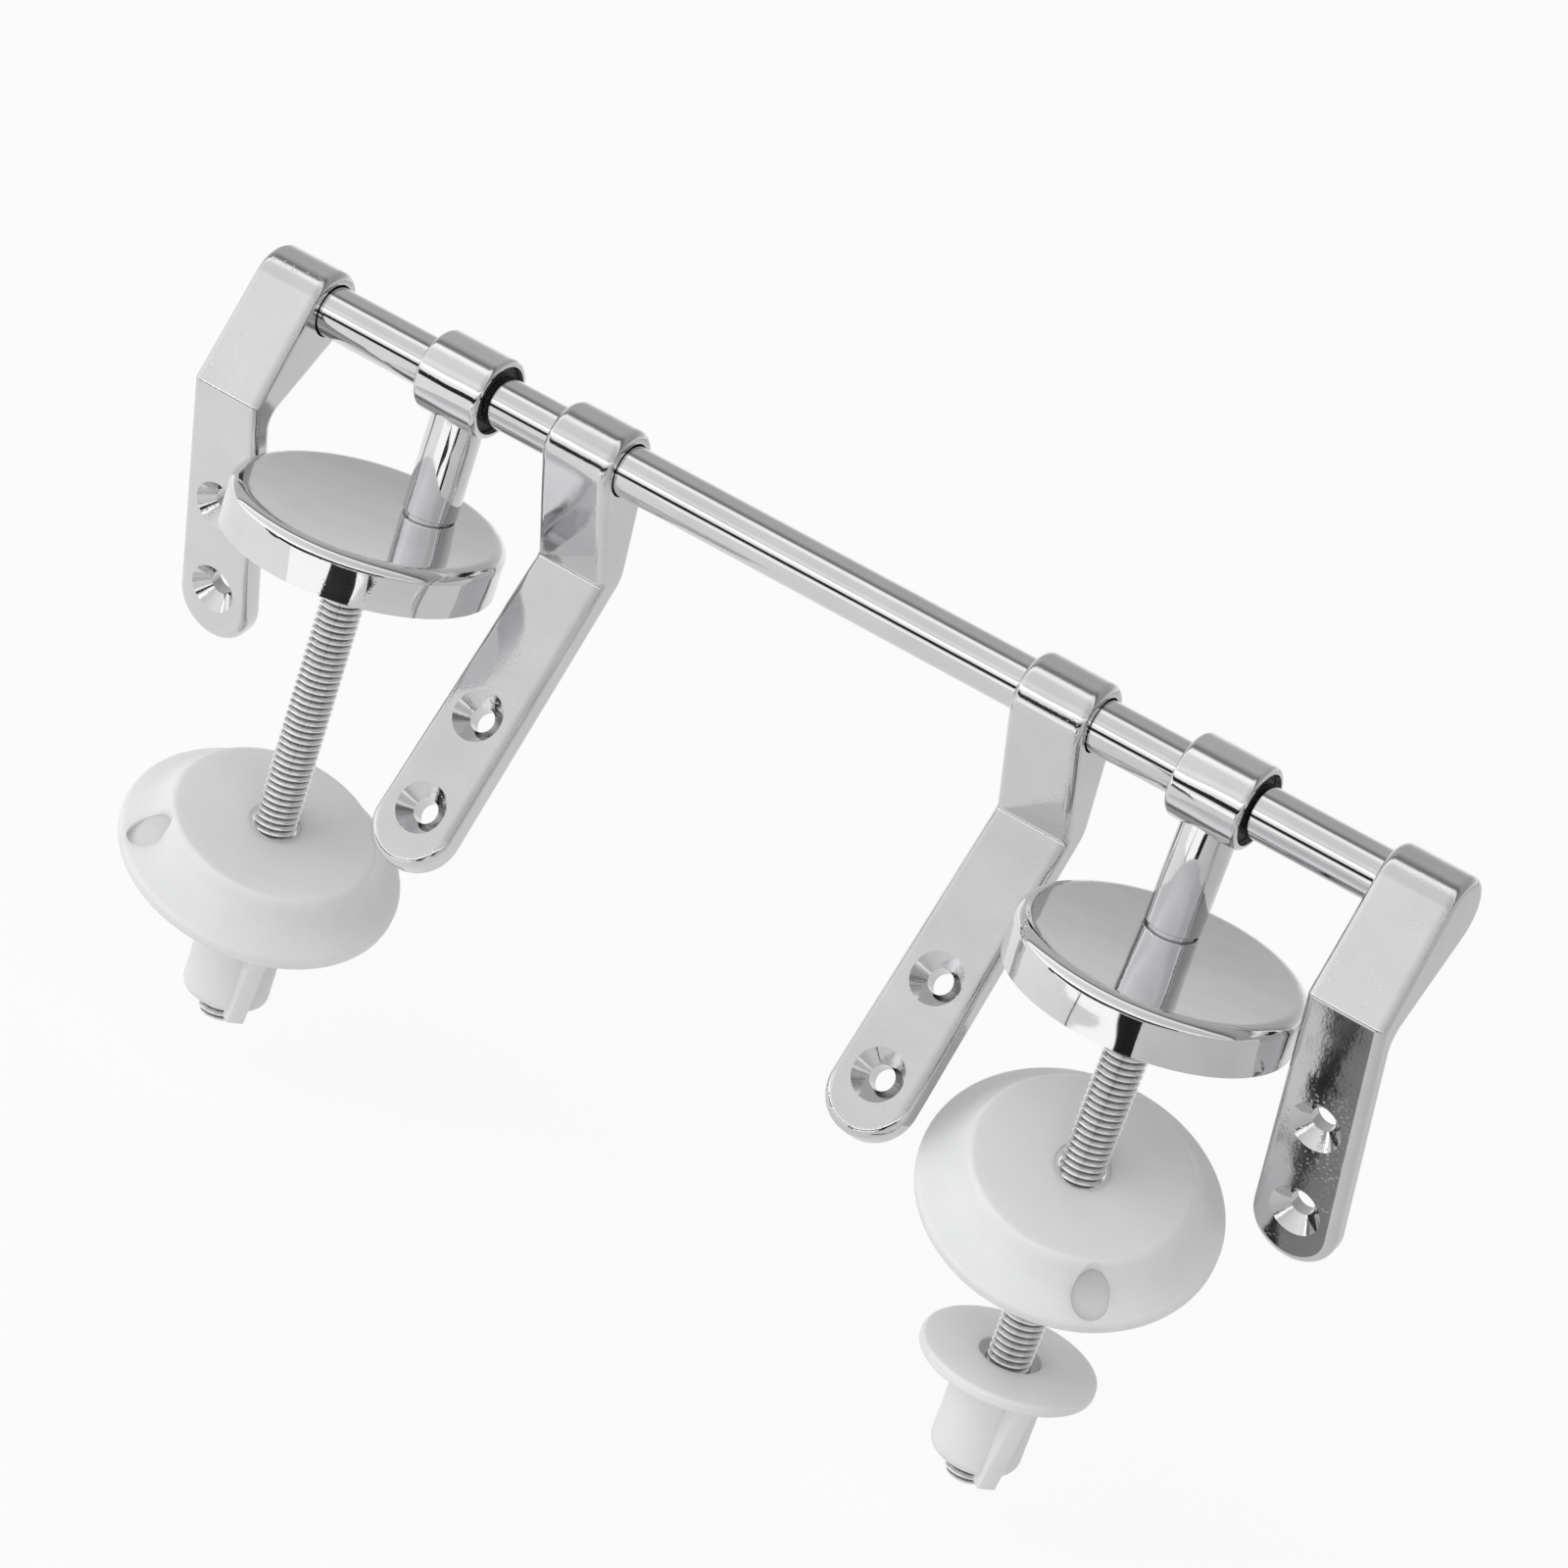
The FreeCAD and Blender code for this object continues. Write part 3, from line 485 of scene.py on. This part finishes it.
def make_floor():
    """White floor that mirrors as a pale glow, a little dimmer to the right."""
    reach = FLOOR_REACH
    corners = [(-reach, -reach, 0), (reach, -reach, 0), (reach, reach, 0), (-reach, reach, 0)]
    floor = add_mesh("floor", corners, [(0, 1, 2, 3)])
    floor.location.z = FLOOR_Z
    material = bpy.data.materials.new("floor_white")
    t = Tree(material)
    t.nodes.clear()
    rays = t.add("ShaderNodeLightPath").outputs
    diffuse = t.add("ShaderNodeBsdfDiffuse")
    t.feed(diffuse.inputs["Color"], colour(FLOOR_TONE))
    place = t.split(t.add("ShaderNodeNewGeometry").outputs["Position"])
    glow = t.add("ShaderNodeEmission")
    level = t.mix(rays["Is Camera Ray"], t.span(place["X"], *FLOOR_FALL), 1.0)
    t.feed(glow.inputs["Strength"], level)
    mirrored = t.math("MAXIMUM", rays["Is Glossy Ray"], rays["Is Transmission Ray"])
    seen = t.math("MAXIMUM", rays["Is Camera Ray"], mirrored)
    both = t.add("ShaderNodeMixShader")
    factor, first, second = both.inputs
    t.feed(factor, t.math("MULTIPLY", seen, FLOOR_GLOW))
    t.feed(first, diffuse.outputs["BSDF"])
    t.feed(second, glow.outputs["Emission"])
    output = t.add("ShaderNodeOutputMaterial")
    t.feed(output.inputs["Surface"], both.outputs["Shader"])
    floor.data.materials.append(material)


def make_world():
    """Studio surround: pale in front, a dark gap overhead, greyer behind, plain to the camera."""
    world = bpy.data.worlds.new("studio")
    scene.world = world
    t = Tree(world)
    way = t.split(t.add("ShaderNodeTexCoord").outputs["Generated"])
    angle = t.math("ARCTAN2", way["Z"], t.math("MULTIPLY", way["Y"], -1.0))
    stops = [(degrees / SKY_SPAN, level) for degrees, level in SKY]
    sky = t.ramp(t.math("DIVIDE", angle, math.pi), stops)
    level = t.math("MULTIPLY", sky, t.span(way["X"], *SKY_SIDES))
    seen = t.add("ShaderNodeLightPath").outputs["Is Camera Ray"]
    background = t.nodes["Background"]
    t.feed(background.inputs["Color"], colour(1.0))
    t.feed(background.inputs["Strength"], t.mix(seen, level, BACKDROP))


def add_flag(name, corners, tone=CARD_TONE):
    """Dark card, seen only in its mirror image in the metal."""
    flag = add_mesh(name, corners, [(0, 1, 2, 3)])
    flag.visible_camera = False
    flag.visible_diffuse = False
    flag.visible_shadow = False
    s = Surface(name)
    s.put("Base Color", colour(tone))
    s.put("Roughness", CARD_ROUGHNESS)
    flag.data.materials.append(s.material)
    return s


def add_glowing_card(name, corners, level):
    """Glowing white card, seen only as a bright mirror image in the metal."""
    s = add_flag(name, corners)
    s.put("Emission Color", colour(1.0))
    s.put("Emission Strength", level)


def standing_card(x, y, turn, width, height=CARD_HEIGHT):
    """Corners of an upright card, turned about Z from facing the front."""
    angle = math.radians(turn)
    along = Vector((math.cos(angle), math.sin(angle), 0.0)) * width / 2
    foot = Vector((x, y, CARD_Z))
    rise = Vector((0.0, 0.0, height))
    return [foot - along, foot + along, foot + along + rise, foot - along + rise]


def lying_card(far, near, width):
    """Corners of a level strip from a far to a near point."""
    half = Vector((width / 2, 0.0, 0.0))
    back, front = (Vector((x, y, CARD_Z + CARD_LIFT)) for x, y in (far, near))
    return [front - half, front + half, back + half, back - half]


def add_key():
    """Large soft panel up on the left, aimed at the origin and not mirrored in the metal."""
    lamp = bpy.data.lights.new("key", "AREA")
    lamp.shape = "RECTANGLE"
    lamp.size, lamp.size_y = KEY_SIZE
    lamp.energy = KEY_WATTS
    panel = bpy.data.objects.new("key", lamp)
    panel.location = KEY_PLACE
    panel.rotation_euler = (-Vector(KEY_PLACE)).to_track_quat("-Z", "Y").to_euler()
    panel.visible_glossy = False
    scene.collection.objects.link(panel)


def make_camera():
    data = bpy.data.cameras.new("camera")
    data.sensor_width = SENSOR
    data.lens = LENS
    data.clip_start, data.clip_end = CLIP
    camera = bpy.data.objects.new("camera", data)
    turn = Matrix((CAMERA_RIGHT, -CAMERA_DOWN, -CAMERA_AHEAD)).transposed().to_4x4()
    camera.matrix_world = Matrix.Translation(CAMERA_PLACE) @ turn
    scene.collection.objects.link(camera)
    scene.camera = camera


cast_chrome = chrome_material(
    "chrome_cast", tint=(0.68, 0.682, 0.69), rough=0.075, wave=0.00022, pits=0.32
)
disc_chrome = chrome_material(
    "chrome_disc", tint=(0.74, 0.742, 0.75), rough=0.045, wave=0.00012, pits=0.05, ripple=0.00042
)
rod_chrome = chrome_material(
    "chrome_rod", tint=(0.69, 0.692, 0.70), rough=0.050, wave=0.00004, pits=0.0, drawn=True
)
thread_zinc = zinc_material("zinc_thread", threaded=True)
screw_zinc = zinc_material("zinc_screw", threaded=False)
milky = milky_material("milky_plastic")
black = bush_material("black_plastic")

dress("hinge_rod", rod_chrome)
for side in SIDES:
    dress("lid_arm_" + side, cast_chrome)
    dress("seat_arm_" + side, cast_chrome)
    dress("pillar_" + side, disc_chrome)
    dress("base_disc_" + side, disc_chrome)
    dress("pillar_bush_" + side, black)
    dress("pillar_screw_" + side, screw_zinc)
    dress("cone_washer_" + side, milky)
    dress("wing_nut_" + side, milky)
    low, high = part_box("pan_bolt_" + side)
    middle = (low + high) / 2
    stud = make_thread("thread_" + side, middle.x, middle.y, low.z, high.z)
    stud.data.materials.append(thread_zinc)
    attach(stud, "pillar_" + side)
    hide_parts("pan_bolt_" + side)
    for make, label in ((make_lip, "washer_lip_"), (make_eye_floor, "washer_eye_")):
        web = make(label + side, "cone_washer_" + side, middle.x, middle.y)
        web.data.materials.append(milky)
        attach(web, "cone_washer_" + side)

make_floor()
make_world()
add_key()
add_flag("flag_left", standing_card(x=-0.006, y=-0.195, turn=60.0, width=0.086))
add_flag("flag_right", standing_card(x=0.141, y=-0.201, turn=0.0, width=0.058))
# Glowing white card in front, which shows only as a bright reflection in the metal.
add_glowing_card("card_front", standing_card(x=-0.024, y=-0.225, turn=0.0, width=0.272), level=1.25)
add_flag("flag_front", standing_card(x=0.0, y=-0.45, turn=0.0, width=1.2, height=-CARD_Z), tone=0.02)
add_flag("flag_arm", lying_card(far=(0.0955, -0.012), near=(0.0782, -0.0753), width=0.0055))
add_flag("flag_arm_side", lying_card(far=(0.1025, -0.012), near=(0.0852, -0.0753), width=0.0085), tone=0.34)
make_camera()
